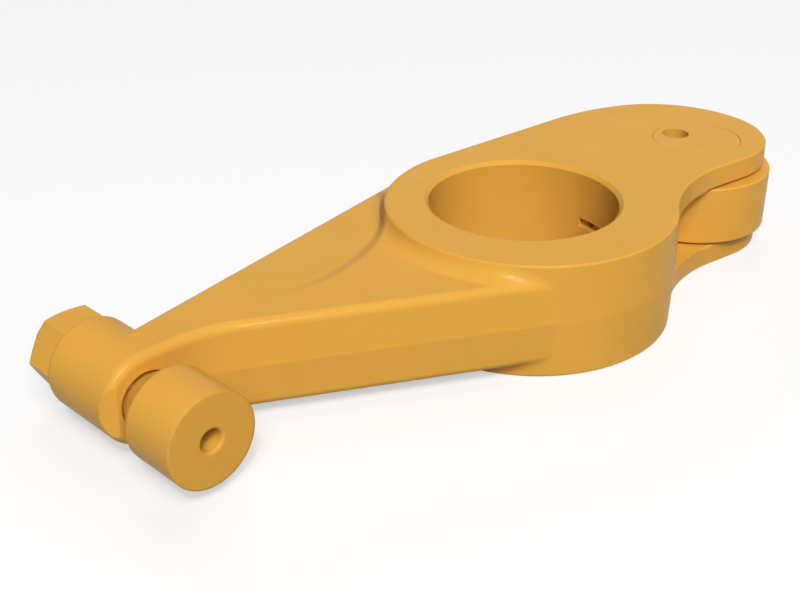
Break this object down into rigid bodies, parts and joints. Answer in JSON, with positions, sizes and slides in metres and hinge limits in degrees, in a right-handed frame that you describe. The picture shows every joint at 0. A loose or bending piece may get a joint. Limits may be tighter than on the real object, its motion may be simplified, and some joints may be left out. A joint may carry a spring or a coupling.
{
  "type": "rocker arm",
  "caption": "Roller rocker arm with a shaft bore, a cam roller in a fork and an adjusting screw with locknut and swivel button.",
  "frame": {"origin": "on the axis of the shaft bore, at the middle of the hub's thickness", "axes": "+Z along the shaft bore, +X towards the roller fork, -Y the way the swivel button faces"},
  "size_m": [0.1651, 0.0671, 0.0232],
  "materials": {
    "body_paint": "satin yellow paint on forged steel",
    "pin_paint": "satin yellow paint on ground steel",
    "roller_paint": "satin yellow paint on ground steel",
    "bush_bronze": "bored bronze",
    "screw_paint": "satin yellow paint on steel",
    "nut_paint": "satin yellow paint on steel",
    "button_paint": "satin yellow paint on ground steel"
  },
  "bodies": {
    "arm": {"rocker_body": "body_paint", "roller_pin": "pin_paint"},
    "roller": {"roller": "roller_paint", "roller_bush": "bush_bronze"},
    "screw": {"adjusting_screw": "screw_paint"},
    "nut": {"locknut": "nut_paint"},
    "button": {"swivel_button": "button_paint"}
  },
  "joints": [
    {"name": "roller_spin", "type": "hinge", "parent": "arm", "child": "roller", "pos_m": [0.0518, -0.00615, 0], "axis": [0, 0, 1], "continuous": true},
    {"name": "lash_adjust", "type": "slide", "parent": "arm", "child": "screw", "axis": [0, -1, 0], "range_m": [-0.0003, 0.004]},
    {"name": "locknut_turn", "type": "hinge", "parent": "arm", "child": "nut", "pos_m": [-0.0865, 0.02785, 0], "axis": [0, 1, 0], "range_deg": [0, 360]},
    {"name": "button_swivel", "type": "hinge", "parent": "screw", "child": "button", "pos_m": [-0.0865, 0.0005, 0], "axis": [0, 0, 1], "range_deg": [-6, 6]}
  ]
}
